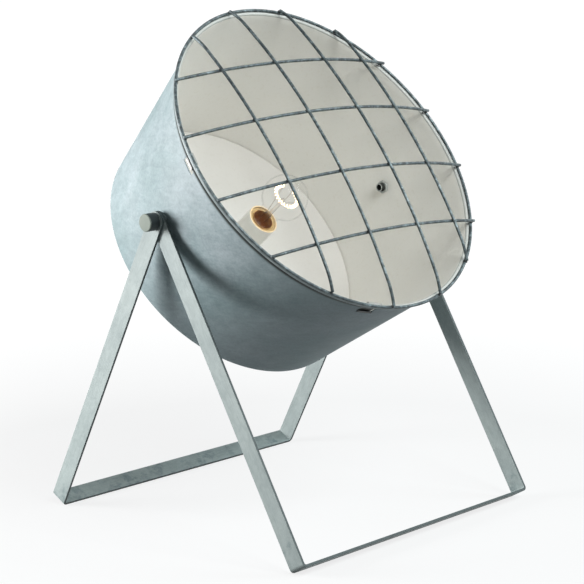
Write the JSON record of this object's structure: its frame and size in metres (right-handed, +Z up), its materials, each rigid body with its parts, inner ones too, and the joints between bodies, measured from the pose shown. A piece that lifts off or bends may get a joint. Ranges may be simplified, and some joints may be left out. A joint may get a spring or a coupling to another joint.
{
  "type": "tabletop searchlight lamp",
  "caption": "Wide tapered sheet-metal shade with a bulb, a wire grille over its mouth, tilting between flat-bar leg frames clamped at one pivot by side knobs.",
  "frame": {"origin": "on the table, midway between the front and rear feet, in the lamp's middle plane", "axes": "+Z up, +X along the pivot from the left knob to the right knob, -Y the way the lamp shines"},
  "size_m": [0.4154, 0.4088, 0.5743],
  "materials": {
    "bar_steel": "zinc-plated flat bar, brushed lengthwise",
    "shade_sheet": "galvanised sheet outside, pale enamel inside",
    "back_sheet": "pale enamel",
    "grille_steel": "dull zinc-plated wire",
    "spring_steel": "bright",
    "knob_metal": "satin, turned",
    "plated_steel": "zinc plated",
    "holder_shell": "smooth white",
    "insert_body": "matte",
    "shell_brass": "plain",
    "bulb_cap_metal": "plain",
    "clear_glass": "clear",
    "stem_glass": "clear",
    "black_glass": "black, gloss",
    "filament_metal": "glowing",
    "grip_plastic": "matte"
  },
  "bodies": {
    "rear_frame": {"rear_frame": "bar_steel"},
    "front_frame": {"front_frame": "bar_steel"},
    "left_knob": {"left_clamp_knob": "knob_metal"},
    "right_knob": {"right_clamp_knob": "knob_metal"},
    "shade": {"bulb_cap": "bulb_cap_metal", "bulb_contact_tip": "shell_brass", "bulb_filament": "filament_metal", "bulb_glass": "clear_glass", "bulb_insulator": "black_glass", "bulb_stem": "stem_glass", "bulb_support_wires": "filament_metal", "cable_entry_locknut": "plated_steel", "cable_entry_tube": "plated_steel", "cable_entry_washer": "plated_steel", "cord_grip": "grip_plastic", "earth_tag": "plated_steel", "grille_clips": "spring_steel", "grille_level_wire_1": "grille_steel", "grille_level_wire_2": "grille_steel", "grille_level_wire_3": "grille_steel", "grille_level_wire_4": "grille_steel", "grille_ring": "grille_steel", "grille_upright_wire_1": "grille_steel", "grille_upright_wire_2": "grille_steel", "grille_upright_wire_3": "grille_steel", "grille_upright_wire_4": "grille_steel", "lampholder_cap": "holder_shell", "lampholder_centre_contact": "shell_brass", "lampholder_insert": "insert_body", "lampholder_screw_shell": "shell_brass", "lampholder_skirt": "holder_shell", "left_knob_washer": "plated_steel", "left_pivot_locknut": "plated_steel", "left_pivot_tube": "plated_steel", "left_shade_spacer": "plated_steel", "right_knob_washer": "plated_steel", "right_pivot_locknut": "plated_steel", "right_pivot_tube": "plated_steel", "right_shade_spacer": "plated_steel", "shade_back": "back_sheet", "shade_wall": "shade_sheet", "terminal_screws": "shell_brass"}
  },
  "joints": [
    {"name": "shade_tilt", "type": "hinge", "parent": "rear_frame", "child": "shade", "pos_m": [0, 0.00935, 0.3537], "axis": [1, 0, 0], "range_deg": [-162, 43]},
    {"name": "frame_fold", "type": "hinge", "parent": "rear_frame", "child": "front_frame", "pos_m": [0, 0.00935, 0.3537], "axis": [1, 0, 0], "range_deg": [-10, 54]},
    {"name": "left_knob_turn", "type": "hinge", "parent": "shade", "child": "left_knob", "pos_m": [0, 0.00935, 0.3537], "axis": [-1, 0, 0], "range_deg": [0, 360]},
    {"name": "right_knob_turn", "type": "hinge", "parent": "shade", "child": "right_knob", "pos_m": [0, 0.00935, 0.3537], "axis": [1, 0, 0], "range_deg": [0, 360]}
  ]
}
